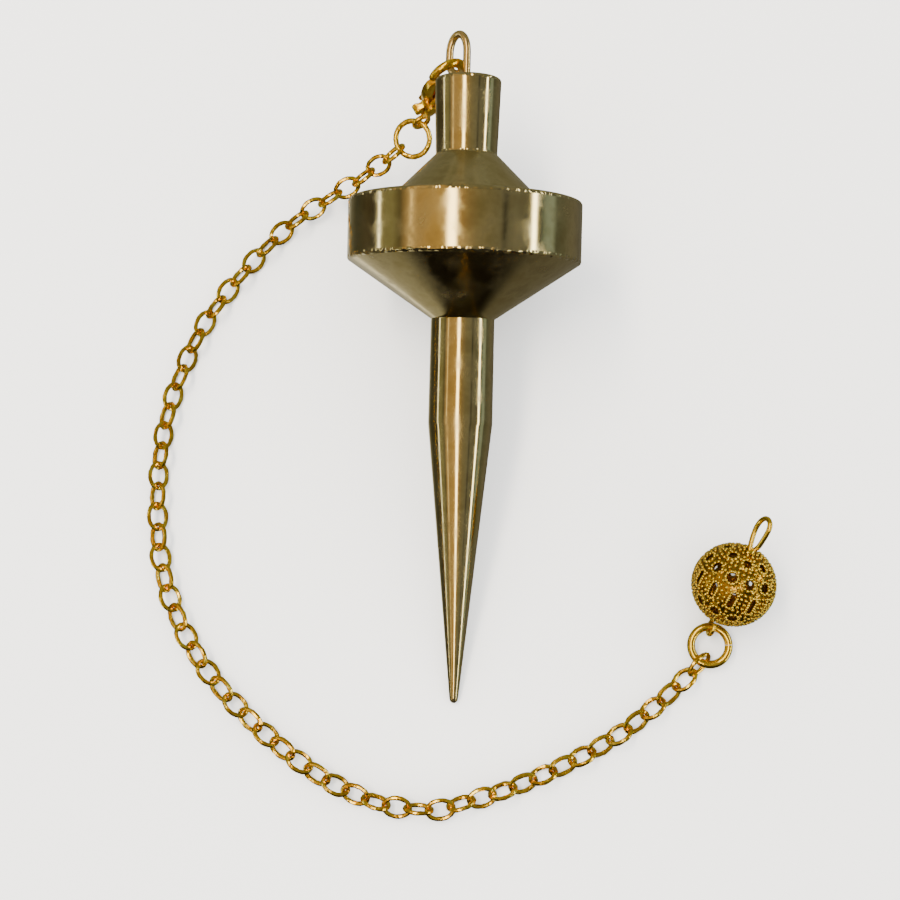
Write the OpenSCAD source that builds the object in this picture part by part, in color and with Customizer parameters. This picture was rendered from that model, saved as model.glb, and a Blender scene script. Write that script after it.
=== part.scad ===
// Dowsing pendulum lying on a table: a turned brass bob, a lobster clasp, a cable chain and a filigree ball.
// The bob rests on its tip and on the lower rim of its drum. The floor is z = 0 and +Y runs along the bob.

/* [Bob] */
// Length of the bob from tip to neck face
bob_l = 72.3; // [66:0.1:80]
// Diameter of the drum
bob_d = 27; // [22:0.5:32]
// Diameter of the rounded tip
tip_d = 1; // [0.6:0.1:2]
// Diameter of the shank where it meets the long taper
shank_d = 7.4; // [6:0.1:9]
// Diameter of the shank where it meets the cone
shank_top_d = 7.3; // [6:0.1:9]
// Length of the slim shank
shank_l = 12.1; // [8:0.1:16]
// Length of the cone between shank and drum
cone_l = 6.6; // [4:0.2:10]
// Height of the drum
drum_l = 6.9; // [4:0.1:10]
// Rounding of the upper edge of the drum
drum_round = 0.45; // [0.2:0.05:1]
// Diameter of the shoulder cone where it stands on the drum
shoulder_d = 17.9; // [14:0.1:20]
// Height of the shoulder cone
shoulder_l = 5.4; // [3:0.2:8]
// Diameter of the neck at its foot
neck_d = 7.1; // [6:0.1:9]
// Diameter of the neck at its face
neck_face_d = 7.7; // [6.4:0.1:10]
// Length of the neck
neck_l = 8.7; // [6:0.1:12]
// Rounding of the edge of the neck face
neck_round = 0.6; // [0.2:0.1:1.2]
// Turn of the bob's axis from +Y towards +X
bob_turn = 1.4; // [0:0.1:6]

/* [Bob eye] */
// Diameter of the eye's brass wire
eye_wire = 0.85; // [0.7:0.05:1]
// Distance between the two legs of the eye, centre to centre
eye_w = 2.7; // [2.6:0.05:3.2]
// Height of the eye above the neck face
eye_h = 5.8; // [5:0.1:7]
// Height of the eye's pointed top bend
eye_top_l = 2.1; // [1.4:0.1:2.6]
// Height of the lowest bend of the eye above the neck face
eye_lift = 0.4; // [0.1:0.05:0.7]
// Depth of the drilled seat of the stem
eye_seat = 4; // [2.5:0.5:6]
// Radial gap between the stem and its seat
eye_fit = 0.05; // [0.03:0.01:0.1]
// Distance of the stem from the bob's axis
eye_off = 0.3; // [0:0.1:0.8]
// Turn of the eye about the bob's axis
eye_turn = 42; // [34:1:48]

/* [Clasp] */
// Length of the claw from the middle of the base eye to the middle of the crown wire
claw_l = 10.4; // [9.8:0.1:11.4]
// Width of the claw without its thumb tab
claw_w = 5.6; // [5.2:0.1:6.2]
// Thickness of the claw at the pivot
claw_t = 2; // [1.8:0.1:2.6]
// Mean radius of the base eye
base_r = 0.95; // [0.85:0.05:1.2]
// Diameter of the wire of the base eye
base_wire = 0.6; // [0.5:0.05:0.7]
// Thickness of the lever
lever_t = 0.8; // [0.6:0.05:1]
// Gap between the lever and each cheek of the slot
lever_gap = 0.1; // [0.06:0.02:0.2]
// Length of the thumb tab from the middle of the rivet
tab_l = 1.9; // [1.8:0.1:2.4]
// Thickness of the thumb tab
tab_d = 0.9; // [0.7:0.05:1]
// Width of the thumb tab's end
tab_w = 1.1; // [0.9:0.1:1.4]
// Lean of the thumb tab towards the base eye
tab_lean = 33; // [25:1:36]
// Diameter of the rivet
rivet_d = 0.9; // [0.7:0.05:1]
// Radial gap round the rivet
rivet_fit = 0.05; // [0.03:0.01:0.1]

/* [Rings] */
// Outer diameter of the jump ring at the clasp
clasp_ring_d = 4.9; // [4.4:0.1:6]
// Wire diameter of the jump ring at the clasp
clasp_ring_wire = 0.6; // [0.5:0.05:0.65]
// Outer diameter of the jump ring at the ball
bead_ring_d = 5.3; // [4.9:0.1:6.4]
// Wire diameter of the jump ring at the ball
bead_ring_wire = 0.88; // [0.7:0.02:0.94]

/* [Chain] */
// Number of links
link_count = 59; // [40:1:80]
// Length of a link
link_l = 3.6; // [3.5:0.05:4]
// Width of a link
link_w = 2.7; // [2.6:0.05:3.1]
// Diameter of the link wire
link_wire = 0.45; // [0.4:0.01:0.5]
// Gap between the wires of two links that pull on each other
link_gap = 0.205; // [0.2:0.005:0.26]

/* [Ball] */
// Diameter of the ball over its raised rims
bead_d = 9.8; // [9:0.1:12]
// Thickness of the ball's shell
bead_wall = 0.5; // [0.4:0.05:0.8]
// Height of the raised rims
rim_h = 0.12; // [0.08:0.02:0.2]
// Width of the raised rims
rim_w = 0.3; // [0.2:0.05:0.4]
// Diameter of the openings beside the belt
mid_hole_d = 1.15; // [0.8:0.05:1.3]
// Diameter of the openings nearer the poles
pole_hole_d = 1; // [0.8:0.05:1.1]
// Width of the slots round the belt
slot_w = 0.65; // [0.4:0.05:0.9]
// Length of the slots round the belt
slot_l = 1.9; // [1.4:0.1:2.1]
// Diameter of the wire through the ball
pin_wire = 0.55; // [0.45:0.05:0.6]
// Diameter of the ball's end holes
end_hole_d = 1.15; // [1:0.05:1.4]
// Reach of the free loop beyond the ball
free_loop_l = 4.4; // [4:0.1:5.5]
// Width of the free loop
free_loop_w = 2.7; // [2.2:0.1:3.4]
// Turn of the free loop about the ball's axis
free_loop_turn = 25; // [-90:5:90]
// Lean of the free loop to the side
free_loop_lean = 9; // [0:1:20]

/* [Hidden] */

// Smoothness of turned and bent parts
round_fn = 72;
small_fn = 32;
wire_sides = 10;
pin_sides = 8;
link_sides = 6;
link_steps = 12;

// Moves the whole pendant so that its box is centred on the origin
shift_x = 0;
shift_y = 0.17;
// Where the tip touches the floor
tip_x = shift_x - 0.27;
tip_y = shift_y - 31;

// Stations along the bob's axis, from the middle of the tip's rounding
tip_r = tip_d / 2;
drum_r = bob_d / 2;
neck_top = bob_l - tip_r;
neck_foot = neck_top - neck_l;
drum_top = neck_foot - shoulder_l;
drum_foot = drum_top - drum_l;
shank_top = drum_foot - cone_l;
taper_top = shank_top - shank_l;
// The bob lies on its tip and on the lower rim of the drum
bob_lean = atan2(drum_r, drum_foot) - asin(tip_r / norm([drum_r, drum_foot]));

// Turning points about the axes
function turn_x(p, a) = [p.x, p.y * cos(a) - p.z * sin(a), p.y * sin(a) + p.z * cos(a)];
function turn_y(p, a) = [p.x * cos(a) + p.z * sin(a), p.y, p.z * cos(a) - p.x * sin(a)];
function turn_z(p, a) = [p.x * cos(a) - p.y * sin(a), p.x * sin(a) + p.y * cos(a), p.z];
function unit(v) = v / norm(v);
// A point seen from something whose x axis rises by rise in the direction of heading, rolled about that axis
function aimed(p, roll, rise, heading) = turn_z(turn_y(turn_x(p, roll), -rise), heading);

// Points of an arc in the plane of a section
function arc(centre, r, from, to, steps) =
    [for (i = [0 : steps]) let (a = from + (to - from) * i / steps) centre + r * [cos(a), sin(a)]];

// Point at share u between p[i] and p[i + 1] of a smooth curve through all points
function smooth_point(p, i, u) =
    let (a = p[max(i - 1, 0)], b = p[i], c = p[i + 1], d = p[min(i + 2, len(p) - 1)])
    b + 0.5 * u * (c - a + u * (2 * a - 5 * b + 4 * c - d + u * (3 * b - 3 * c + d - a)));
function smooth(p, steps) =
    concat([for (i = [0 : len(p) - 2], k = [0 : steps - 1]) smooth_point(p, i, k / steps)], [p[len(p) - 1]]);

// Direction at each point of a path
function headings(p) =
    let (last = len(p) - 1)
    [for (i = [0 : last]) unit(p[min(i + 1, last)] - p[max(i - 1, 0)])];
// Side direction at each point, carried along the path without twist
function sides_along(t, first) =
    let (last = len(t) - 1)
    [for (i = 0, s = unit(first - (first * t[0]) * t[0]);
          i <= last;
          i = i + 1, s = unit(s - (s * t[min(i, last)]) * t[min(i, last)])) s];

// Faces of a tube of rings with a number of sides, its first point being number start
function ring_faces(rings, sides, start = 0, closed = false) =
    [for (i = [0 : rings - (closed ? 1 : 2)], k = [0 : sides - 1], half = [0, 1])
        let (a = start + i * sides + k,
             b = start + i * sides + (k + 1) % sides,
             c = start + ((i + 1) % rings) * sides + (k + 1) % sides,
             d = start + ((i + 1) % rings) * sides + k)
        half == 0 ? [a, b, c] : [a, c, d]];
function tube_faces(rings, sides) = concat(
    ring_faces(rings, sides),
    [[for (k = [sides - 1 : -1 : 0]) k]],
    [[for (k = [0 : sides - 1]) (rings - 1) * sides + k]]);

// A bent wire along a path
module wire(path, r, sides, first) {
    t = headings(path);
    s = sides_along(t, first);
    points = [for (i = [0 : len(path) - 1], k = [0 : sides - 1])
        path[i] + r * (cos(360 * k / sides) * s[i] - sin(360 * k / sides) * cross(t[i], s[i]))];
    polyhedron(points, tube_faces(len(path), sides));
}

module torus(ring_r, wire_r) {
    rotate_extrude($fn = round_fn) translate([ring_r, 0]) circle(r = wire_r, $fn = small_fn);
}

// Bob
module on_bob() {
    translate([tip_x, tip_y, tip_r]) rotate([bob_lean - 90, 0, -bob_turn]) children();
}
function bob_point(p) = [tip_x, tip_y, tip_r] + turn_z(turn_x(p, bob_lean - 90), -bob_turn);

// The loop of the eye lies in one plane: u points away from the loop across the neck, v stands on its face
function eye_point(u, v) = [u * cos(eye_turn), -u * sin(eye_turn), neck_top + v];
eye_r = eye_wire / 2;
bore_r = eye_r + eye_fit;

module bob() {
    outline = concat(
        arc([0, 0], tip_r, -90, 0, 9),
        [[shank_d / 2, taper_top],
         [shank_top_d / 2, shank_top],
         [drum_r, drum_foot]],
        arc([drum_r - drum_round, drum_top - drum_round], drum_round, 0, 90, 6),
        [[shoulder_d / 2, drum_top],
         [neck_d / 2, neck_foot]],
        arc([neck_face_d / 2 - neck_round, neck_top - neck_round], neck_round, 0, 90, 6),
        [[0, neck_top]]);
    color("#b5a55c")
    on_bob() difference() {
        rotate_extrude($fn = round_fn) polygon(outline);
        translate(eye_point(-eye_off, -eye_seat)) cylinder(r = bore_r, h = eye_seat + 1, $fn = small_fn);
    }
}

// Bob eye: a stem in the neck's seat, an oval loop to its left and a short curl back towards the stem
bend_r = eye_w / 2;
bend_low = eye_lift + eye_r + bend_r;
bend_high = eye_h - eye_r - eye_top_l;
eye_mid = -eye_off - bend_r;
// Angle of the curl's end, counted from the lowest point towards the stem
curl = 22;
module bob_eye() {
    path = concat(
        [[-eye_off, eye_fit - eye_seat], [-eye_off, 0], [-eye_off, bend_low]],
        [for (p = arc([0, 0], 1, 0, 180, 12)) [eye_mid + bend_r * p.x, bend_high + eye_top_l * p.y]],
        arc([eye_mid, bend_low], bend_r, 180, 270 + curl, 8));
    color("#b0a062")
    on_bob() wire([for (p = path) eye_point(p.x, p.y)], eye_r, wire_sides, [sin(eye_turn), cos(eye_turn), 0]);
}

// Clasp: x runs from the middle of the base eye to the crown, y towards the lever, z is its thickness
clasp_rise = 60;
clasp_heading = 36;
clasp_roll = 80;
// Where the claw hangs on the lower bend of the eye, as an angle round that bend
hang_angle = 220;
hang_gap = 0.35;
// Station along the claw and sideways place as shares of its length and width, then half the width as a
// share of the width and half the thickness as a share of the thickness
CLAW = [
    [0.10, 0.00, 0.09, 0.22],
    [0.20, 0.00, 0.20, 0.42],
    [0.32, 0.02, 0.26, 0.50],
    [0.44, -0.04, 0.21, 0.50],
    [0.54, -0.17, 0.15, 0.43],
    [0.66, -0.28, 0.115, 0.36],
    [0.78, -0.33, 0.105, 0.30],
    [0.89, -0.27, 0.105, 0.28],
    [0.97, -0.12, 0.105, 0.27],
    [1.00, 0.05, 0.105, 0.26],
    [0.975, 0.22, 0.10, 0.26],
    [0.91, 0.35, 0.095, 0.25],
    [0.83, 0.41, 0.085, 0.24],
    [0.77, 0.42, 0.07, 0.22]];
CROWN = CLAW[9];
crown_inside = claw_l - CROWN[2] * claw_w;
hang_point = bob_point(eye_point(eye_mid + bend_r * cos(hang_angle), bend_low + bend_r * sin(hang_angle)));
function clasp_dir(p) = aimed(p, clasp_roll, clasp_rise, clasp_heading);
clasp_base = hang_point - clasp_dir([crown_inside - eye_r - hang_gap, 0, 0]);
module on_clasp() {
    translate(clasp_base) rotate([clasp_roll, -clasp_rise, clasp_heading]) children();
}
pivot = [0.33 * claw_l, 0.12 * claw_w];
knuckle_r = 0.15 * claw_w;
rivet_hole_r = rivet_d / 2 + rivet_fit;
slot_t = lever_t + 2 * lever_gap;
claw_sides = 12;

module claw_sweep() {
    stations = smooth(CLAW, 2);
    path = [for (c = stations) [c[0] * claw_l, c[1] * claw_w, 0]];
    t = headings(path);
    points = [for (i = [0 : len(path) - 1], k = [0 : claw_sides - 1])
        path[i] + stations[i][2] * claw_w * cos(360 * k / claw_sides) * [-t[i].y, t[i].x, 0]
                - [0, 0, stations[i][3] * claw_t * sin(360 * k / claw_sides)]];
    polyhedron(points, tube_faces(len(path), claw_sides));
}

module clasp_body() {
    color("#d9a93a")
    on_clasp() difference() {
        union() {
            claw_sweep();
            torus(base_r, base_wire / 2);
        }
        // Slot that the lever turns in
        linear_extrude(slot_t, center = true) polygon([
            [pivot.x - 1.3 * tab_l, claw_w],
            [pivot.x - knuckle_r - lever_gap, pivot.y - 0.5 * knuckle_r],
            [pivot.x - 0.5 * knuckle_r, pivot.y - knuckle_r - lever_gap],
            [0.47 * claw_l, -0.1 * claw_w],
            [0.58 * claw_l, -0.12 * claw_w],
            [0.62 * claw_l, claw_w]]);
        translate([pivot.x, pivot.y, -claw_t]) cylinder(r = rivet_hole_r, h = 2 * claw_t, $fn = small_fn);
    }
}

// Lever: station along the claw as a share of its length, outer and inner edge as shares of its width
LEVER = [
    [0.40, 0.32, 0.08],
    [0.50, 0.42, 0.19],
    [0.60, 0.46, 0.24],
    [0.69, 0.44, 0.25],
    [0.745, 0.345, 0.25],
    [0.79, 0.325, 0.26]];
module clasp_lever() {
    outer = [for (row = LEVER) [row[0] * claw_l, row[1] * claw_w]];
    inner = [for (i = [len(LEVER) - 1 : -1 : 0]) [LEVER[i][0] * claw_l, LEVER[i][2] * claw_w]];
    tab_end = tab_l - tab_d / 2;
    color("#dcae42")
    on_clasp() difference() {
        union() {
            translate([pivot.x, pivot.y, -lever_t / 2]) cylinder(r = knuckle_r, h = lever_t, $fn = small_fn);
            linear_extrude(lever_t, center = true) polygon(concat([[pivot.x, pivot.y]], outer, inner));
            // Thumb tab and its rounded end
            translate([pivot.x, pivot.y, 0]) rotate([0, 0, tab_lean]) {
                translate([-tab_d / 2, 0, -lever_t / 2]) cube([tab_d, tab_end, lever_t]);
                translate([0, tab_end, -tab_w / 2]) cylinder(d = tab_d, h = tab_w, $fn = small_fn);
            }
        }
        translate([pivot.x, pivot.y, -lever_t]) cylinder(r = rivet_hole_r, h = 2 * lever_t, $fn = small_fn);
    }
}

module clasp_rivet() {
    head_t = 0.15;
    head_r = rivet_d / 2 + 0.2;
    half = claw_t / 2 + rivet_fit;
    color("#e0b44c")
    on_clasp() translate([pivot.x, pivot.y, 0]) {
        translate([0, 0, -half - head_t]) cylinder(r = rivet_d / 2, h = 2 * (half + head_t), $fn = small_fn);
        translate([0, 0, -half - head_t]) cylinder(r = head_r, h = head_t, $fn = small_fn);
        translate([0, 0, half]) cylinder(r = head_r, h = head_t, $fn = small_fn);
    }
}

// Clasp ring: its x axis points to the base eye, and the chain leaves it at an angle on the other side
ring_rise = 29;
ring_heading = 58;
ring_leave = 155;
hold_gap = 0.15;
clasp_ring_r = (clasp_ring_d - clasp_ring_wire) / 2;
function ring_dir(p) = aimed(p, 0, ring_rise, ring_heading);
base_inside = base_r - base_wire / 2;
clasp_ring_at = clasp_base - clasp_dir([base_inside - clasp_ring_wire / 2 - hold_gap, 0, 0])
    - ring_dir([clasp_ring_r, 0, 0]);
module clasp_ring() {
    color("#d9a93a")
    translate(clasp_ring_at) rotate([0, -ring_rise, ring_heading]) torus(clasp_ring_r, clasp_ring_wire / 2);
}

// Chain
link_r = link_wire / 2;
link_half_l = link_l / 2 - link_r;
link_half_w = link_w / 2 - link_r;
link_pitch = link_l - 2 * link_wire - link_gap;
// Share of its free play that a link sinks by where the chain lies, and the height above which none does
settle = 0.2;
settle_lift = 0.5;
// Roll about the chain's line, from lying flat: link number, angle of the odd links, angle of the even links
ROLLS = [
    [1, 49, -42],
    [12, 46, -44],
    [20, 42, -44],
    [24, 40, -36],
    [27, 38, -30],
    [40, 38, -34],
    [42, 28, -56],
    [44, 18, -68],
    [46, 26, -58],
    [49, 40, -44],
    [57, 40, -40],
    [59, 57, -40]];
first_link_at = clasp_ring_at
    + ring_dir((clasp_ring_r + link_half_l - link_r - clasp_ring_wire / 2 - hold_gap)
        * [cos(ring_leave), sin(ring_leave), 0]);
// Chosen points that the links' middles lie on: x, y and height above where a link would rest
ROUTE = [
    [-11.7, 32.6, 2.7],
    [-15.9, 30.4, 1.3],
    [-20, 27.9, 0.4],
    [-23.7, 24.4, 0.05],
    [-28.4, 18.6, 0],
    [-32.1, 12.2, 0],
    [-35.1, 2.7, 0],
    [-35.8, -7.3, 0],
    [-34.5, -17.1, 0],
    [-30.3, -26.1, 0],
    [-23.7, -33.6, 0],
    [-15.8, -39.7, 0],
    [-8.9, -42.8, 0],
    [-4, -43.5, 0],
    [-1.5, -43.5, 0],
    [0.7, -42.8, 0],
    [5.3, -41.5, 0],
    [12.2, -38.7, 0],
    [18.9, -35.1, 0],
    [24.8, -30.5, 0],
    [28.2, -27.3, 0]];
function rest_height(roll, lift) =
    let (own = abs(sin(roll)), most = max(own, abs(cos(roll))), sunk = settle * max(1 - lift / settle_lift, 0))
    link_r + link_half_w * (most - sunk * (most - own));
function roll_of(i) = lookup(i + 1, [for (row = ROLLS) [row[0], row[1 + i % 2]]]);
first_stop = first_link_at - [0, 0, rest_height(roll_of(0), first_link_at.z)];
route = smooth(concat([first_stop], [for (stop = ROUTE) stop + [shift_x, shift_y, 0]]), 8);
route_end = len(route) - 1;
// Distance along the route at each of its points
run = [for (i = 0, s = 0; i <= route_end; i = i + 1, s = s + norm(route[min(i, route_end)] - route[i - 1])) s];
function along(s, axis) = lookup(s, [for (i = [0 : route_end]) [run[i], route[i][axis]]]);
end_dir = unit(route[route_end] - route[route_end - 1]);
function route_point(s) =
    [for (axis = [0 : 2]) along(s, axis)] + max(s - run[route_end], 0) * end_dir;
function link_at(i) = let (p = route_point(i * link_pitch)) p + [0, 0, rest_height(roll_of(i), p.z)];
function link_dir(i) = unit(route_point((i + 0.5) * link_pitch) - route_point((i - 0.5) * link_pitch)
    + (i == 0 ? route_point(0) - route_point(0.5 * link_pitch) : [0, 0, 0]));
link_places = [for (i = [0 : link_count - 1]) link_at(i)];
link_dirs = [for (i = [0 : link_count - 1])
    i == 0 ? unit(first_link_at - clasp_ring_at) : link_dir(i)];

// Points of one oval link about its middle
function link_points(at, dir, roll) =
    let (level = unit(cross([0, 0, 1], dir)),
         up = cross(dir, level),
         wide = cos(roll) * level + sin(roll) * up,
         thick = cross(dir, wide))
    [for (i = [0 : link_steps - 1], k = [0 : link_sides - 1])
        let (a = 360 * i / link_steps,
             out = unit([cos(a) * link_half_w, sin(a) * link_half_l]),
             b = 360 * k / link_sides,
             c = [cos(a) * link_half_l, sin(a) * link_half_w] + link_r * cos(b) * out)
        at + c.x * dir + c.y * wide + link_r * sin(b) * thick];

module chain() {
    color("#cf9c35")
    polyhedron(
        [for (i = [0 : link_count - 1]) each link_points(link_places[i], link_dirs[i], roll_of(i))],
        [for (i = [0 : link_count - 1])
            each ring_faces(link_steps, link_sides, i * link_steps * link_sides, true)]);
}

// Bead ring: nearly flat, its far side raised through the pin's lower loop
bead_ring_r = (bead_ring_d - bead_ring_wire) / 2;
bead_ring_heading = 83;
last_link = link_places[link_count - 1];
last_dir = link_dirs[link_count - 1];
// Where the ring's wire passes through the last link
hook_gap = 0.55;
bead_hook = last_link + (link_half_l - link_r - bead_ring_wire / 2 - hook_gap) * last_dir;
// The chain pulls on the ring at an angle
bead_ring_leave = 159;
// The ring rises until the ball that its far side holds rests on the floor
bead_rise = 33;
bead_heading = 65;
bead_r = bead_d / 2;
shell_r = bead_r - rim_h;
pin_r = pin_wire / 2;
pin_gap = 0.05;
low_loop_gap = 0.18;
low_loop_r = bead_ring_wire / 2 + low_loop_gap + pin_r;
low_loop_at = shell_r + low_loop_r + pin_r + pin_gap;
bead_ring_rise = asin((bead_r - low_loop_at * sin(bead_rise) - bead_hook.z)
    / (bead_ring_r * (1 - cos(bead_ring_leave))));
function bead_ring_dir(p) = aimed(p, 0, bead_ring_rise, bead_ring_heading);
bead_ring_at = bead_hook - bead_ring_dir(bead_ring_r * [cos(bead_ring_leave), sin(bead_ring_leave), 0]);
module bead_ring() {
    color("#d9a93a")
    translate(bead_ring_at) rotate([0, -bead_ring_rise, bead_ring_heading])
        torus(bead_ring_r, bead_ring_wire / 2);
}

// Ball and its pin: z is the ball's axis, pointing to the free loop
function bead_dir(p) = aimed(turn_y(p, 90), 0, bead_rise, bead_heading);
// The loop holds the ring's far side
bead_low = bead_ring_at + bead_ring_dir([bead_ring_r, 0, 0]);
bead_at = bead_low + bead_dir([0, 0, low_loop_at]);
module on_bead() {
    translate(bead_at) rotate([0, -bead_rise, bead_heading]) rotate([0, 90, 0]) children();
}

// Openings of the ball: latitude, how many, share of a step that the row is turned by, diameter
HOLES = [
    [-57, 8, 0, pole_hole_d],
    [-29, 12, 0.5, mid_hole_d],
    [29, 12, 0.5, mid_hole_d],
    [57, 8, 0, pole_hole_d]];
belt_slots = 12;
// Cutters of the openings, or with some extra radius the rims round them, whose edges reach the ball's
// full size
module round_holes(extra, from) {
    for (row = HOLES, i = [0 : row[1] - 1]) {
        r = row[3] / 2 + extra;
        to = extra > 0 ? sqrt(bead_r * bead_r - r * r) : bead_d;
        rotate([0, 0, 360 * (i + row[2]) / row[1]]) rotate([0, 90 - row[0], 0])
            translate([0, 0, from]) cylinder(r = r, h = to - from, $fn = small_fn);
    }
}
module bead() {
    inside_r = shell_r - bead_wall;
    slot_half = (slot_l - slot_w) / 2;
    color("#c9973a")
    on_bead() difference() {
        union() {
            sphere(shell_r, $fn = round_fn);
            round_holes(rim_w, inside_r + bead_wall / 4);
        }
        sphere(inside_r, $fn = round_fn);
        round_holes(0, inside_r / 2);
        for (i = [0 : belt_slots - 1])
            rotate([0, 0, 360 * i / belt_slots]) rotate([0, 90, 0]) {
                translate([-slot_half, -slot_w / 2, inside_r / 2]) cube([2 * slot_half, slot_w, bead_r]);
                for (end = [-1, 1])
                    translate([end * slot_half, 0, inside_r / 2])
                        cylinder(r = slot_w / 2, h = bead_r, $fn = small_fn);
            }
        translate([0, 0, -bead_d]) cylinder(d = end_hole_d, h = 2 * bead_d, $fn = small_fn);
    }
}

// Pin: a small loop below, the shaft, then a teardrop loop whose end is bent round its foot
wrap_turns = 0.5;
wrap_steps = 5;
wrap_gap = 0.03;
wrap_r = pin_wire + wrap_gap;
wrap_end = shell_r + pin_gap + pin_r;
drop_foot = wrap_end + wrap_turns * wrap_r + pin_r;
drop_l = bead_r + free_loop_l - pin_r - drop_foot;
// Sharpness of the teardrop's foot, and its greatest width as a share of its curve's amplitude
drop_power = 1.5;
drop_share = 0.69;
drop_wide = (free_loop_w - pin_wire) / 2 / drop_share;
function drop_x(a) = drop_wide * sin(a) * pow(sin(a / 2), drop_power);
function eased(u) = let (c = min(max(u, 0), 1)) c * c * (3 - 2 * c);
module bead_pin() {
    low_loop = [for (a = arc([0, -low_loop_at], low_loop_r, 130, 400, 14)) [a.x, 0, a.y]];
    teardrop = [for (a = [20 : 17 : 360]) [
        drop_x(a),
        wrap_r * eased((a - 250) / 70),
        drop_foot + drop_l * (1 - cos(a)) / 2]];
    wrap = [for (i = [1 : wrap_steps]) let (a = 90 + 360 * wrap_turns * i / wrap_steps) [
        wrap_r * cos(a),
        wrap_r * sin(a),
        drop_foot - (drop_foot - wrap_end) * i / wrap_steps]];
    path = concat(
        low_loop,
        [[0.9 * pin_r, 0, -shell_r - pin_r], [0.1 * pin_r, 0, -shell_r + pin_r],
         [0, 0, -shell_r + 2 * pin_wire], [0, 0, 0], [0, 0, shell_r], [0, 0, drop_foot - pin_r]],
        [for (p = concat(teardrop, wrap))
            turn_z(p, free_loop_turn) - [0, tan(free_loop_lean) * max(p.z - drop_foot, 0), 0]]);
    color("#d9a93a")
    on_bead() wire(path, pin_r, pin_sides, [0, 1, 0]);
}

bob();
bob_eye();
clasp_body();
clasp_lever();
clasp_rivet();
clasp_ring();
chain();
bead_ring();
bead();
bead_pin();
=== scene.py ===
# A dowsing pendulum lying on a table: turned brass bob, lobster clasp, cable chain and filigree ball.
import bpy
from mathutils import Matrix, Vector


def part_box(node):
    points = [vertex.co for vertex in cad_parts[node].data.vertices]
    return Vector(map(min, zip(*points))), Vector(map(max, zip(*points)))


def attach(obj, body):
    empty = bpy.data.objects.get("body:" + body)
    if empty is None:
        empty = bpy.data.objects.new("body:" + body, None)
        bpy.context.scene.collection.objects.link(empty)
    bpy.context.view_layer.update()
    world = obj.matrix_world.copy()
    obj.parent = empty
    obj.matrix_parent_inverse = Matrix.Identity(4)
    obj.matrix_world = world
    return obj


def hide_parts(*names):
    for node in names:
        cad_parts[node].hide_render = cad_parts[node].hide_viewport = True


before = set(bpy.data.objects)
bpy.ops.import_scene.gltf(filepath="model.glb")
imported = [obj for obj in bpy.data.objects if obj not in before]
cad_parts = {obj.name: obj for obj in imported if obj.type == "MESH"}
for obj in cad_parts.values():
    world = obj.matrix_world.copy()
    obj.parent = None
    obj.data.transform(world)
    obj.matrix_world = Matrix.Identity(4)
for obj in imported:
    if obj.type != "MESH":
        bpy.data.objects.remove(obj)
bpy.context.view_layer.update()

import math
import bpy
import numpy as np
from mathutils import Euler, Matrix, Vector


# Table and light
# A plain white laminate table top under a tent of soft white cloth. Polished brass shows the tent's seams and
# lamps as streaks: warm lamps left of straight up, bright seams on both sides, a cool wall low on the right.
mm = 0.001


def tone(code):
    """The linear colour of an sRGB hex value."""
    parts = [int(code[i:i + 2], 16) / 255 for i in (1, 3, 5)]
    return [c / 12.92 if c <= 0.04045 else ((c + 0.055) / 1.055) ** 2.4 for c in parts] + [1]


def add_node(tree, kind, settings={}, **inputs):
    """Adds a shader node. Each input gets a value or the socket that feeds it. An input is called by its name,
    with _ for a space, or by its number after in_."""
    made = tree.nodes.new("ShaderNode" + kind)
    for name, value in settings.items():
        setattr(made, name, value)
    for name, value in inputs.items():
        name = int(name[3:]) if name.startswith("in_") else name.replace("_", " ")
        if isinstance(value, bpy.types.NodeSocket):
            tree.links.new(value, made.inputs[name])
        else:
            made.inputs[name].default_value = value
    return made


def set_ramp(ramp, stops):
    """Gives a colour ramp its stops: place from 0 to 1 and hex colour."""
    elements = ramp.color_ramp.elements
    while len(elements) < len(stops):
        elements.new(0.5)
    for element, (place, code) in zip(elements, stops):
        element.position = place
        element.color = tone(code)
    return ramp


table_size = 1.6
# The table top lies a hair below the floor, so that what rests on it doesn't flicker
table_drop = 0.02 * mm
bpy.ops.object.select_all(action="DESELECT")
bpy.ops.mesh.primitive_plane_add(size=table_size, location=(0, 0, -table_drop))
table_top = bpy.context.object
table_top.name = "table_top"
laminate = bpy.data.materials.new("matt_white_laminate")
laminate.use_nodes = True
surface = laminate.node_tree.nodes["Principled BSDF"]
surface.inputs["Base Color"].default_value = tone("#f4f4f2")
surface.inputs["Roughness"].default_value = 0.9
surface.inputs["Specular IOR Level"].default_value = 0.1
table_top.data.materials.append(laminate)
# The tent alone shows in polished metal
table_top.visible_glossy = False

tent = bpy.data.worlds.new("light_tent")
bpy.context.scene.world = tent
tent.use_nodes = True
sky = tent.node_tree
sky.nodes.clear()
look = add_node(sky, "TexCoord").outputs["Generated"]
split = add_node(sky, "SeparateXYZ", Vector=look)
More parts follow.
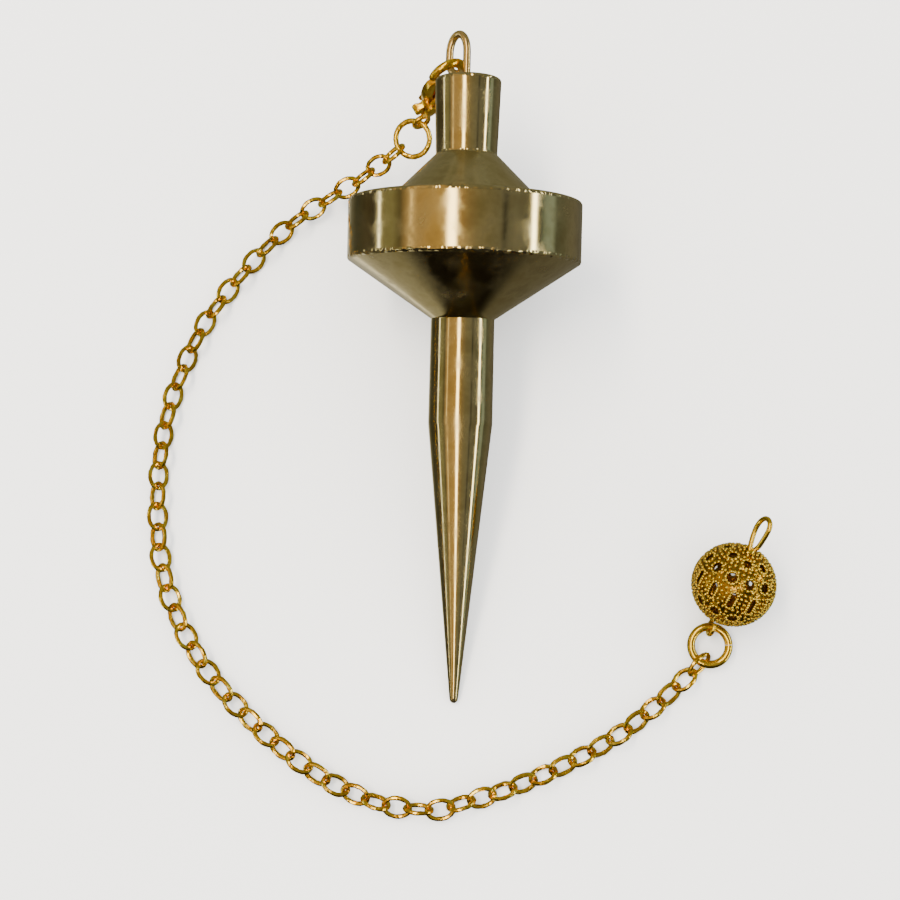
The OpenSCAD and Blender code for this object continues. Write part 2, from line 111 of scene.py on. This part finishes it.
# Angle round the bob's length: 0 is straight up, negative to the left; the ramp runs from -180 to 180 degrees
turn = add_node(sky, "Math", {"operation": "ARCTAN2"}, in_0=split.outputs["X"], in_1=split.outputs["Z"])
share = add_node(sky, "MapRange", Value=turn.outputs[0], From_Min=-math.pi, From_Max=math.pi)
strips = [
    (-180, "#7c7868"), (-160, "#d8d2c0"), (-146, "#7a7664"), (-128, "#4c4c3e"), (-106, "#585040"),
    (-95, "#4a4438"), (-89, "#f0eadc"), (-84, "#96906c"), (-72, "#96906c"), (-64, "#6a6248"),
    (-58, "#b89c74"), (-52, "#f0d09c"), (-46, "#c8a470"), (-20, "#dcb26c"), (-15, "#ffe8c2"),
    (-9, "#ffe8c2"), (-5, "#c49c64"), (3, "#a08a64"), (14, "#8a8064"), (34, "#7f7b6c"), (38, "#403e36"),
    (43, "#7a776a"), (62, "#706e62"), (67, "#f6eedc"), (71, "#f6eedc"), (75, "#45473f"), (83, "#9cacaa"),
    (92, "#a6b4b2"), (97, "#62665a"), (125, "#7c786a"), (150, "#6a665a"), (180, "#7c7868")]
walls = set_ramp(add_node(sky, "ValToRGB", Fac=share.outputs[0]),
                 [(degrees / 360 + 0.5, code) for degrees, code in strips])
# The tent is open to a dark room beyond the table's near edge, and plain olive drab beyond the far one
near_edge = add_node(sky, "MapRange", {"interpolation_type": "SMOOTHSTEP"}, Value=split.outputs["Y"],
                     From_Min=-0.78, From_Max=-0.60, To_Min=1.0, To_Max=0.0)
far_edge = add_node(sky, "MapRange", {"interpolation_type": "SMOOTHSTEP"}, Value=split.outputs["Y"],
                    From_Min=0.35, From_Max=0.65, To_Min=0.0, To_Max=0.85)
drab = add_node(sky, "Mix", {"data_type": "RGBA"}, in_0=far_edge.outputs[0], in_6=walls.outputs[0],
                in_7=tone("#86836e"))
mirrored = add_node(sky, "Mix", {"data_type": "RGBA"}, in_0=near_edge.outputs[0], in_6=drab.outputs[2],
                    in_7=tone("#1e1a14"))
# Only the lamps and seams are brighter than white card
lamp_glare, table_glow = 16.0, 3.0
brightness = add_node(sky, "RGBToBW", Color=mirrored.outputs[2])
glare = add_node(sky, "MapRange", {"interpolation_type": "SMOOTHSTEP"}, Value=brightness.outputs[0],
                 From_Min=0.55, From_Max=1.0, To_Min=1.0, To_Max=lamp_glare)
for_metal = add_node(sky, "Background", Color=mirrored.outputs[2], Strength=glare.outputs[0])
for_table = add_node(sky, "Background", Color=(1, 1, 1, 1), Strength=table_glow)
ray = add_node(sky, "LightPath")
both = add_node(sky, "MixShader", Fac=ray.outputs["Is Glossy Ray"], in_1=for_table.outputs[0],
                in_2=for_metal.outputs[0])
add_node(sky, "OutputWorld", Surface=both.outputs[0])

# A tall window on the left gives the soft shadows
bpy.ops.object.light_add(type="AREA", location=(-0.22, 0.10, 0.55), rotation=(0.18, -0.38, 0))
window = bpy.context.object
window.name = "window_light"
window.data.shape = "RECTANGLE"
window.data.size, window.data.size_y = 0.10, 0.5
window.data.energy = 5.0
window.data.color = tone("#fff1dc")[:3]
window.visible_glossy = False


# Camera
# It looks down at the table from just beyond the bob's point, 166 mm up and tilted about 12 degrees from
# straight down. Its place and its axes come from the fit to the bob's outline and the links' places.
camera_at = Vector((-0.44, -37.77, 166.38)) * mm
camera_axes = [(1, 0, 0.0015), (0, 0.9764, -0.2159), (-0.0016, 0.2159, 0.9764)]
bpy.ops.object.camera_add(location=camera_at)
camera = bpy.context.object
camera.matrix_world = Matrix.Translation(camera_at) @ Matrix(camera_axes).to_4x4()
camera.data.lens = 56
camera.data.sensor_width = 36
camera.data.clip_start = 0.005
bpy.context.scene.camera = camera


# Bob
# Solid brass bar turned on a lathe to a drum between two cones, with a long taper to a fine point, and then
# polished. It lies on its point and on the drum's lower edge. Fine rings from the tool show across it.
def turned_stations(corners, steps=5, flank=1.8):
    """Heights and radii of the rings to turn. Each corner (height, radius, rounding) is eased by its rounding,
    and a ring at flank times the rounding on either side keeps the slopes straight."""
    rings = [corners[0][:2]]
    for before, corner, after in zip(corners, corners[1:], corners[2:]):
        at = Vector(corner[:2])
        back = (Vector(before[:2]) - at).normalized() * corner[2]
        on = (Vector(after[:2]) - at).normalized() * corner[2]
        rings.append(at + flank * back)
        rings += [at + (1 - u) ** 2 * back + u ** 2 * on for u in [i / steps for i in range(steps + 1)]]
        rings.append(at + flank * on)
    return rings + [corners[-1][:2]]


# Height above the middle of the point's rounding, radius and rounding of each corner, in mm
bob_corners = [
    (-0.50, 0.03, 0), (-0.47, 0.20, 0.04), (-0.28, 0.42, 0.08), (0.05, 0.51, 0.12), (32.1, 3.73, 0.10),
    (44.2, 3.68, 0.05), (50.8, 13.5, 0.18), (57.7, 13.5, 0.40), (57.7, 8.95, 0.08), (63.1, 3.55, 0.08),
    (71.8, 3.85, 0.50), (71.8, 0.50, 0)]
bob_slices = 192
bob_lean, bob_turn = math.radians(14.3373), math.radians(1.4)
bob_tip = Vector((-0.27, -30.83, 0.5)) * mm
bob_angles = (bob_lean - math.pi / 2, 0, -bob_turn)
bob_place = Matrix.Translation(bob_tip) @ Euler(bob_angles).to_matrix().to_4x4()

bpy.ops.object.select_all(action="DESELECT")
height, radius = bob_corners[0][:2]
bpy.ops.mesh.primitive_circle_add(vertices=bob_slices, radius=radius * mm, fill_type="NGON",
                                  location=(0, 0, height * mm))
bob = bpy.context.object
bob.name = "turned_bob"
bpy.ops.object.mode_set(mode="EDIT")
for ring_height, ring_radius in turned_stations(bob_corners)[1:]:
    rise = (0, 0, (ring_height - height) * mm)
    bpy.ops.mesh.extrude_region_move(TRANSFORM_OT_translate={"value": rise})
    grow = ring_radius / radius
    bpy.ops.transform.resize(value=(grow, grow, 1), center_override=(0, 0, ring_height * mm))
    height, radius = ring_height, ring_radius
bpy.ops.mesh.select_all(action="SELECT")
bpy.ops.mesh.normals_make_consistent(inside=False)
bpy.ops.object.mode_set(mode="OBJECT")
bob.matrix_world = bob_place @ bob.matrix_world
bpy.ops.object.transform_apply(location=True, rotation=True, scale=True)
bpy.ops.object.shade_smooth_by_angle(angle=math.radians(40))


def new_metal(name, colour, roughness):
    """A new polished metal. Returns the material, its tree, its shader and its own coordinates in metres."""
    made = bpy.data.materials.new(name)
    made.use_nodes = True
    tree = made.node_tree
    shader = tree.nodes["Principled BSDF"]
    shader.inputs["Base Color"].default_value = tone(colour)
    shader.inputs["Metallic"].default_value = 1
    shader.inputs["Roughness"].default_value = roughness
    return made, tree, shader, add_node(tree, "TexCoord").outputs["Object"]


# Polished free-turning brass: pale and a little green, with tool rings about 0.3 mm apart, drawn three times
# as coarse as real ones so that they show, and finger smudges that dull it in patches some 3 mm wide
bob_brass, tree, shader, place = new_metal("turned_free_cutting_brass", "#c6b886", 0.12)
along = add_node(tree, "Mapping", {"vector_type": "TEXTURE"}, Vector=place, Location=bob_tip,
                 Rotation=bob_angles).outputs[0]
rings_only = add_node(tree, "Mapping", Vector=along, Scale=(20, 20, 3300)).outputs[0]
tool_rings = add_node(tree, "TexNoise", Vector=rings_only, Scale=1.0, Detail=2.0, Roughness=0.7)
smudges = add_node(tree, "TexNoise", Vector=along, Scale=330.0, Detail=3.0, Roughness=0.6)
dulled = add_node(tree, "MapRange", Value=smudges.outputs[0], From_Min=0.45, From_Max=0.75,
                  To_Min=0.10, To_Max=0.30)
tree.links.new(dulled.outputs[0], shader.inputs["Roughness"])
tarnish = set_ramp(add_node(tree, "ValToRGB", Fac=smudges.outputs[0]), [
    (0.30, "#bfb07c"), (0.50, "#ccbf8e"), (0.72, "#b0a272")])
tree.links.new(tarnish.outputs[0], shader.inputs["Base Color"])
rings_cut = add_node(tree, "Bump", Height=tool_rings.outputs[0], Strength=0.12, Distance=0.01 * mm)
# Knocks along the sharp edges, some 0.7 mm apart, catch the light as a row of bright specks. Each edge has its
# height along the bob and how far from it the knocks reach, in mm
knocked_edges = [(50.85, 0.25), (57.45, 0.22), (63.1, 0.15), (71.55, 0.2)]
height_up = add_node(tree, "SeparateXYZ", Vector=along).outputs["Z"]
knocks = add_node(tree, "TexNoise", Vector=place, Scale=1500.0, Detail=0.0).outputs[0]
masks = [add_node(tree, "Math", {"operation": "COMPARE"}, in_0=height_up, in_1=edge * mm, in_2=reach * mm)
         for edge, reach in knocked_edges]
on_edges = masks[0]
for mask in masks[1:]:
    on_edges = add_node(tree, "Math", {"operation": "MAXIMUM"}, in_0=on_edges.outputs[0], in_1=mask.outputs[0])
dinted = add_node(tree, "Math", {"operation": "MULTIPLY"}, in_0=knocks, in_1=on_edges.outputs[0])
knocked = add_node(tree, "Bump", Height=dinted.outputs[0], Strength=0.9, Distance=0.25 * mm,
                   Normal=rings_cut.outputs[0])
tree.links.new(knocked.outputs[0], shader.inputs["Normal"])
bob.data.materials.append(bob_brass)
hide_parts("bob")
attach(bob, "pendant")


# Bob eye
# A stem of 0.85 mm brass wire, set in the neck's drilled seat and bent into a long oval eye with a short curl
# back towards the stem.
def take(*pieces):
    """Selects these pieces alone and makes the first one active."""
    bpy.ops.object.select_all(action="DESELECT")
    for piece in pieces:
        piece.select_set(True)
    bpy.context.view_layer.objects.active = pieces[0]


def skin_of(node, name):
    """A new piece from a copy of a CAD node: its loose triangles merged into one skin, in quads where they can
    be."""
    piece = bpy.data.objects.new(name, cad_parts[node].data.copy())
    bpy.context.scene.collection.objects.link(piece)
    take(piece)
    bpy.ops.mesh.customdata_custom_splitnormals_clear()
    bpy.ops.object.mode_set(mode="EDIT")
    bpy.ops.mesh.select_all(action="SELECT")
    bpy.ops.mesh.remove_doubles(threshold=0.002 * mm)
    bpy.ops.mesh.tris_convert_to_quads(face_threshold=0.9, shape_threshold=math.pi)
    bpy.ops.object.mode_set(mode="OBJECT")
    piece.data.materials.clear()
    return piece


def finish(piece, kind, **settings):
    """Adds a modifier with its settings to a piece and applies it."""
    change = piece.modifiers.new(kind.lower(), kind)
    for setting, value in settings.items():
        setattr(change, setting, value)
    take(piece)
    bpy.ops.object.modifier_apply(modifier=change.name)


bob_eye = skin_of("bob_eye", "bent_eye")
# Subdividing draws the wire in, so it is swelled first
finish(bob_eye, "DISPLACE", strength=0.06 * mm, mid_level=0)
finish(bob_eye, "SUBSURF", levels=2, render_levels=2)
bpy.ops.object.shade_smooth()
# Drawn brass wire: as the bob, a little browner, with shallow dents from the bending pliers some 0.8 mm apart
eye_brass, tree, shader, place = new_metal("drawn_brass_wire", "#dcc286", 0.2)
dents = add_node(tree, "TexNoise", Vector=place, Scale=1250.0, Detail=1.5)
dented = add_node(tree, "Bump", Height=dents.outputs[0], Strength=0.35, Distance=0.08 * mm)
tree.links.new(dented.outputs[0], shader.inputs["Normal"])
bob_eye.data.materials.append(eye_brass)
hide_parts("bob_eye")
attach(bob_eye, "pendant")


# Clasp
# A cast lobster claw with a base eye, gold plated. The edges are rounded by tumbling. The sprung lever turns
# on a rivet in the claw's slot and carries the thumb tab.

# Gold plating on a tumbled casting: deep yellow, dimpled about every 0.6 mm. Its colour follows the dimples:
# painted shade darkens it down in them, and the raised spots are painted lighter
clasp_gold, tree, shader, place = new_metal("gold_plated_casting", "#f6ca3a", 0.22)
dimples = add_node(tree, "TexNoise", Vector=place, Scale=1600.0, Detail=2.0)
dimpled = add_node(tree, "Bump", Height=dimples.outputs[0], Strength=0.5, Distance=0.12 * mm)
tree.links.new(dimpled.outputs[0], shader.inputs["Normal"])
# Painted shade: the colour is darker where the dimples go down and lighter on the raised spots between them
dimple_shade = set_ramp(add_node(tree, "ValToRGB", Fac=dimples.outputs[0]), [
    (0.30, "#dcaa2a"), (0.50, "#f6ca3a"), (0.75, "#ffe45c")])
tree.links.new(dimple_shade.outputs[0], shader.inputs["Base Color"])

claw = skin_of("clasp_body", "clasp_claw")
finish(claw, "REMESH", mode="VOXEL", voxel_size=0.07 * mm)
finish(claw, "SMOOTH", factor=0.5, iterations=5)
bpy.ops.object.shade_smooth()
claw.data.materials.append(clasp_gold)
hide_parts("clasp_body")
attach(claw, "pendant")

lever = skin_of("clasp_lever", "clasp_lever_arm")
finish(lever, "BEVEL", width=0.09 * mm, segments=3, limit_method="ANGLE", angle_limit=math.radians(35))
bpy.ops.object.shade_smooth_by_angle(angle=math.radians(40))
lever.data.materials.append(clasp_gold)
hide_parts("clasp_lever")
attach(lever, "lever")

rivet = skin_of("clasp_rivet", "clasp_pin")
finish(rivet, "BEVEL", width=0.05 * mm, segments=2, limit_method="ANGLE", angle_limit=math.radians(35))
bpy.ops.object.shade_smooth_by_angle(angle=math.radians(40))
rivet.data.materials.append(clasp_gold)
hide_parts("clasp_rivet")
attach(rivet, "pendant")


# Jump rings
# Rings of gold plated wire, closed by hand so that their cut ends meet in a fine butt joint. The one at the
# clasp is of thinner wire, left a little uneven by the pliers.

# Gold plated wire: bright yellow, with shallow dents from the pliers some 0.9 mm apart
ring_gold, tree, shader, place = new_metal("gold_plated_ring_wire", "#fad64c", 0.18)
pinches = add_node(tree, "TexNoise", Vector=place, Scale=1100.0, Detail=1.0)
pinched = add_node(tree, "Bump", Height=pinches.outputs[0], Strength=0.4, Distance=0.12 * mm)
tree.links.new(pinched.outputs[0], shader.inputs["Normal"])
ring_sides = 12


def jump_ring(node, name, outer, wire, rise, heading, joint_at, slices, hammering):
    """A ring of wire where the CAD ring is. Its outer and wire diameters and its hammering's depth are in mm.
    How far it rises, in which heading, and where its ends meet are in degrees."""
    low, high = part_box(node)
    bpy.ops.object.select_all(action="DESELECT")
    bpy.ops.mesh.primitive_torus_add(
        major_radius=(outer - wire) / 2 * mm, minor_radius=wire / 2 * mm,
        major_segments=slices, minor_segments=ring_sides)
    ring = bpy.context.object
    ring.name = name
    bpy.ops.object.mode_set(mode="EDIT")
    bpy.ops.mesh.select_all(action="DESELECT")
    bpy.ops.object.mode_set(mode="OBJECT")
    # One slice is cut out, a hair more than half a slice to either side of the joint
    half_cut = 190 / slices
    for face in ring.data.polygons:
        away = math.degrees(math.atan2(face.center.y, face.center.x)) - joint_at
        face.select = abs((away + 180) % 360 - 180) < half_cut
    bpy.ops.object.mode_set(mode="EDIT")
    bpy.ops.mesh.delete(type="FACE")
    bpy.ops.mesh.select_all(action="SELECT")
    bpy.ops.mesh.fill_holes(sides=0)
    bpy.ops.transform.vertex_random(offset=hammering * mm, uniform=0.0, normal=1.0, seed=5)
    bpy.ops.object.mode_set(mode="OBJECT")
    turned = Euler((0, -math.radians(rise), math.radians(heading)))
    ring.matrix_world = Matrix.Translation((Vector(low) + Vector(high)) / 2) @ turned.to_matrix().to_4x4()
    bpy.ops.object.transform_apply(location=True, rotation=True, scale=True)
    bpy.ops.object.shade_smooth_by_angle(angle=math.radians(40))
    ring.data.materials.append(ring_gold)
    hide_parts(node)
    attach(ring, "pendant")


jump_ring("clasp_ring", "clasp_jump_ring", outer=4.94, wire=0.66, rise=29, heading=58, joint_at=20,
          slices=96, hammering=0.035)
jump_ring("bead_ring", "ball_jump_ring", outer=5.34, wire=0.94, rise=6.23, heading=83, joint_at=-82,
          slices=240, hammering=0.0)


# Chain
# Oval cable chain of half millimetre gold plated wire. The wire was hammered, so that every side of a link
# carries a few small bright facets. Three links are shaped, and copied in turn along the chain.
link_l, link_w, link_wire = 3.62, 2.79, 0.54
link_slices, link_sides = 28, 8
pattern_count = 3
hammer_depth = 0.032

# Gold plated hammered wire: the facets do most of the sparkling. Its colour varies in spots some 1 mm wide,
# and hammer marks about 0.4 mm apart break up each facet
chain_gold, tree, shader, place = new_metal("gold_plated_chain_wire", "#fad444", 0.17)
spots = add_node(tree, "TexNoise", Vector=place, Scale=900.0, Detail=2.0)
plated = set_ramp(add_node(tree, "ValToRGB", Fac=spots.outputs[0]), [
    (0.35, "#e4b42e"), (0.55, "#fad444"), (0.75, "#fff070")])
tree.links.new(plated.outputs[0], shader.inputs["Base Color"])
marks = add_node(tree, "TexNoise", Vector=place, Scale=2400.0)
hammered = add_node(tree, "Bump", Height=marks.outputs[0], Strength=0.5, Distance=0.08 * mm)
tree.links.new(hammered.outputs[0], shader.inputs["Normal"])


def copy_of(pattern, name, place):
    """A copy of a piece with its own mesh, at its own place."""
    copy = bpy.data.objects.new(name, pattern.data.copy())
    bpy.context.scene.collection.objects.link(copy)
    copy.matrix_world = place
    return copy


def joined(pieces, name):
    """One piece from many, with its place in its mesh."""
    take(*pieces)
    bpy.ops.object.join()
    bpy.context.object.name = name
    bpy.ops.object.transform_apply(location=True, rotation=True, scale=True)
    return bpy.context.object


pattern_links = []
for pattern in range(pattern_count):
    bpy.ops.object.select_all(action="DESELECT")
    bpy.ops.mesh.primitive_torus_add(
        major_radius=(link_w - link_wire) / 2 * mm, minor_radius=link_wire / 2 * mm,
        major_segments=link_slices, minor_segments=link_sides)
    link = bpy.context.object
    bpy.ops.object.mode_set(mode="EDIT")
    bpy.ops.mesh.select_all(action="DESELECT")
    # The ring is drawn out to an oval slice by slice, so that its wire keeps its thickness
    for cut in range(link_slices):
        bpy.ops.object.mode_set(mode="OBJECT")
        for point in link.data.vertices:
            point.select = point.index // link_sides == cut
        bpy.ops.object.mode_set(mode="EDIT")
        drawn = math.cos(2 * math.pi * cut / link_slices) * (link_l - link_w) / 2
        bpy.ops.transform.translate(value=(drawn * mm, 0, 0))
        bpy.ops.mesh.select_all(action="DESELECT")
    bpy.ops.mesh.select_all(action="SELECT")
    bpy.ops.transform.vertex_random(offset=hammer_depth * mm, uniform=0.0, normal=1.0, seed=pattern + 3)
    bpy.ops.object.mode_set(mode="OBJECT")
    pattern_links.append(link)

skin_of("chain", "cad_links")
bpy.ops.object.mode_set(mode="EDIT")
bpy.ops.mesh.select_all(action="SELECT")
bpy.ops.mesh.separate(type="LOOSE")
bpy.ops.object.mode_set(mode="OBJECT")
cad_links = sorted(bpy.context.selected_objects, key=lambda one: one.name)
chain_links = []
for number, cad_link in enumerate(cad_links):
    points = np.array([point.co for point in cad_link.data.vertices])
    middle = points.mean(axis=0)
    # Its length, width and thickness run along the principal directions of its points
    axes = np.linalg.svd(points - middle, full_matrices=False)[2]
    axes[2] = np.cross(axes[0], axes[1])
    link_place = Matrix.Translation(middle) @ Matrix(axes.T.tolist()).to_4x4()
    chain_links.append(copy_of(pattern_links[number % pattern_count], "link", link_place))
for spare in cad_links + pattern_links:
    bpy.data.objects.remove(spare)
cable_chain = joined(chain_links, "cable_chain")
bpy.ops.object.shade_smooth_by_angle(angle=math.radians(16))
cable_chain.data.materials.append(chain_gold)
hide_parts("chain")
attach(cable_chain, "pendant")


# Ball
# A hollow filigree ball of gold plated brass, stamped in openwork. A ring of fine grains edges every opening
# and slot, and more grains cover the shell between them.
ball_low, ball_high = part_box("bead")
ball_at = (Vector(ball_low) + Vector(ball_high)) / 2
ball_angles = Euler((0, math.radians(-33), math.radians(65)))
ball_place = (Matrix.Translation(ball_at) @ ball_angles.to_matrix().to_4x4()
              @ Matrix.Rotation(math.pi / 2, 4, "Y"))
ball_radius = 4.9
# How much of its full size the shell has, so that it lies a little below the tops of the grains
shell_share = 0.97
# Latitude, count and share of a step that the row is turned by, then the radius of the grains' circle
rim_rows = [(-57, 8, 0.0, 0.62), (-29, 12, 0.5, 0.70), (29, 12, 0.5, 0.70), (57, 8, 0.0, 0.62)]
# Slots round the belt: their count, half the length of their straight sides, and how far from their middle
# line the grains lie
slot_count, slot_half, slot_r = 12, 0.62, 0.45
grain_radius = 0.22
grain_height = ball_radius - grain_radius
grain_pitch, field_pitch = 0.42, 0.60
# Rounds of grains between the openings: how many there are on each side of the belt, and degrees between them
field_rounds, round_step = 12, 6.6

# Gold plating with painted shade: bright on the grains and rims, painted dark brown down in the openings, as
# the colour follows the depth below the ball's surface, with fine pits about 0.8 mm apart
ball_gold, tree, shader, place = new_metal("antiqued_gold_filigree", "#f0c660", 0.2)
from_middle = add_node(tree, "VectorMath", {"operation": "DISTANCE"}, in_0=place, in_1=ball_at)
depth = add_node(tree, "MapRange", Value=from_middle.outputs["Value"], From_Min=4.2 * mm, From_Max=4.88 * mm)
# Painted shade: the deeper below the ball's surface, the darker brown the colour
hollow_shade = set_ramp(add_node(tree, "ValToRGB", Fac=depth.outputs[0]), [
    (0.0, "#d09c38"), (0.45, "#7c5e20"), (0.64, "#ae8a2c"), (1.0, "#ffe668")])
tree.links.new(hollow_shade.outputs[0], shader.inputs["Base Color"])
pits = add_node(tree, "TexNoise", Vector=place, Scale=1300.0, Detail=1.5)
pitted = add_node(tree, "Bump", Height=pits.outputs[0], Strength=0.5, Distance=0.14 * mm)
tree.links.new(pitted.outputs[0], shader.inputs["Normal"])

shell = skin_of("bead", "ball_shell")
finish(shell, "REMESH", mode="VOXEL", voxel_size=0.11 * mm)
bpy.ops.object.mode_set(mode="EDIT")
bpy.ops.mesh.select_all(action="SELECT")
bpy.ops.transform.resize(value=(shell_share, shell_share, shell_share), center_override=ball_at)
bpy.ops.object.mode_set(mode="OBJECT")
finish(shell, "SMOOTH", factor=0.5, iterations=2)
bpy.ops.object.shade_smooth()
shell.data.materials.append(ball_gold)

bpy.ops.object.select_all(action="DESELECT")
bpy.ops.mesh.primitive_uv_sphere_add(segments=7, ring_count=5, radius=grain_radius * mm)
grain = bpy.context.object


def beaded(places, name):
    """One piece of grains at the given places."""
    return joined([copy_of(grain, name, Matrix.Translation(at)) for at in places], name)


def on_circle(radius, height, pitch):
    """Places round a circle at a height, about a pitch apart: in metres, from sizes in mm."""
    count = round(2 * math.pi * radius / pitch)
    return [Vector((radius * math.cos(turn), radius * math.sin(turn), height)) * mm
            for turn in [2 * math.pi * i / count for i in range(count)]]


def on_ball(latitude, turned):
    """Brings what stands on the ball's pole down to a latitude in degrees, and round the ball's axis."""
    return Matrix.Rotation(turned, 4, "Z") @ Matrix.Rotation(math.radians(90 - latitude), 4, "Y")


trims = []
# The middle of each opening, and how much of the shell round it is kept free of other grains
kept_free = []
up = Vector((0, 0, 1))
for latitude, count, offset, radius in rim_rows:
    rim = beaded(on_circle(radius, math.sqrt(grain_height ** 2 - radius ** 2), grain_pitch), "rim")
    for i in range(count):
        spot = on_ball(latitude, 2 * math.pi * (i + offset) / count)
        trims.append(copy_of(rim, "rim", ball_place @ spot))
        kept_free.append((spot.to_3x3() @ up, radius + grain_radius))
    bpy.data.objects.remove(rim)
slot_ends = [Vector((end * (slot_half + slot_r * math.cos(a)), slot_r * math.sin(a), 0))
             for end in (1, -1) for a in np.radians([-68, -23, 23, 68])]
slot_sides = [Vector((x, side * slot_r, 0)) for side in (1, -1) for x in (-0.42, -0.14, 0.14, 0.42)]
slot_edge = [(p + math.sqrt(grain_height ** 2 - p.length_squared) * up) * mm for p in slot_ends + slot_sides]
slot_rim = beaded(slot_edge, "slot_rim")
for i in range(slot_count):
    turned = 2 * math.pi * i / slot_count
    trims.append(copy_of(slot_rim, "slot_rim", ball_place @ on_ball(0, turned)))
    # Three circles along a slot cover its length
    kept_free += [(on_ball(latitude, turned).to_3x3() @ up, slot_r + grain_radius) for latitude in (-7, 0, 7)]
bpy.data.objects.remove(slot_rim)
field = []
for number in range(-field_rounds, field_rounds + 1):
    latitude = math.radians(round_step * number)
    for at in on_circle(grain_height * math.cos(latitude), grain_height * math.sin(latitude), field_pitch):
        if all((at / mm - grain_height * middle).length > room for middle, room in kept_free):
            field.append(at)
field = beaded(field, "field")
field.matrix_world = ball_place
bpy.data.objects.remove(grain)
grains = joined(trims + [field], "ball_grains")
bpy.ops.object.shade_smooth()
grains.data.materials.append(ball_gold)
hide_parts("bead")
for piece in (shell, grains):
    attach(piece, "pendant")


# Pin
# One length of gold plated wire, a little over half a millimetre thick: a small eye under the ball, a shaft
# through it, and a long free loop whose end is bent round in front of its own foot and pressed onto the ball.
pin_wire = 0.59
eye_turn, loop_turn = math.radians(12), math.radians(30)
eye_radius, eye_middle = 0.92, -6.03
# Across its loop and up the ball's axis, in mm: round the eye, up through the ball, then up one leg of the
# free loop, round its bend and down the other leg
low_eye = [(eye_radius * math.cos(a), eye_radius * math.sin(a) + eye_middle)
           for a in np.radians(range(130, 401, 27))]
shaft = [(0.25, -5.05), (0.02, -4.5), (0, 0), (0, 4.2)]
free_loop = [
    (0.45, 4.8), (0.8, 5.6), (1.05, 6.5), (1.15, 7.3), (0.95, 8.2), (0.45, 8.85), (-0.2, 9.05),
    (-0.85, 8.85), (-1.15, 8.2), (-1.1, 7.3), (-1.0, 6.4), (-0.85, 5.6), (-0.5, 5.1)]
bent_end = [(-0.9, -0.1, 5.0), (-1.2, 0.15, 4.85), (-1.2, 0.5, 4.75)]
route = []
for stretch, turned in [(low_eye, eye_turn), (shaft, eye_turn), (free_loop, loop_turn)]:
    route += [(across * math.cos(turned), across * math.sin(turned), along_axis)
              for across, along_axis in stretch]
route += bent_end
bpy.ops.object.select_all(action="DESELECT")
bpy.ops.curve.primitive_nurbs_path_add()
pin = bpy.context.object
pin.name = "ball_pin"
bend = pin.data.splines[0]
bend.points.add(len(route) - len(bend.points))
for point, stop in zip(bend.points, route):
    point.co = (*(ball_place @ (Vector(stop) * mm)), 1)
bend.order_u, bend.resolution_u, bend.use_endpoint_u = 3, 5, True
pin.data.bevel_depth, pin.data.bevel_resolution, pin.data.use_fill_caps = pin_wire / 2 * mm, 3, True
bpy.ops.object.convert(target="MESH")
bpy.ops.object.shade_smooth_by_angle(angle=math.radians(50))
pin.data.materials.append(ring_gold)
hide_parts("bead_pin")
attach(pin, "pendant")
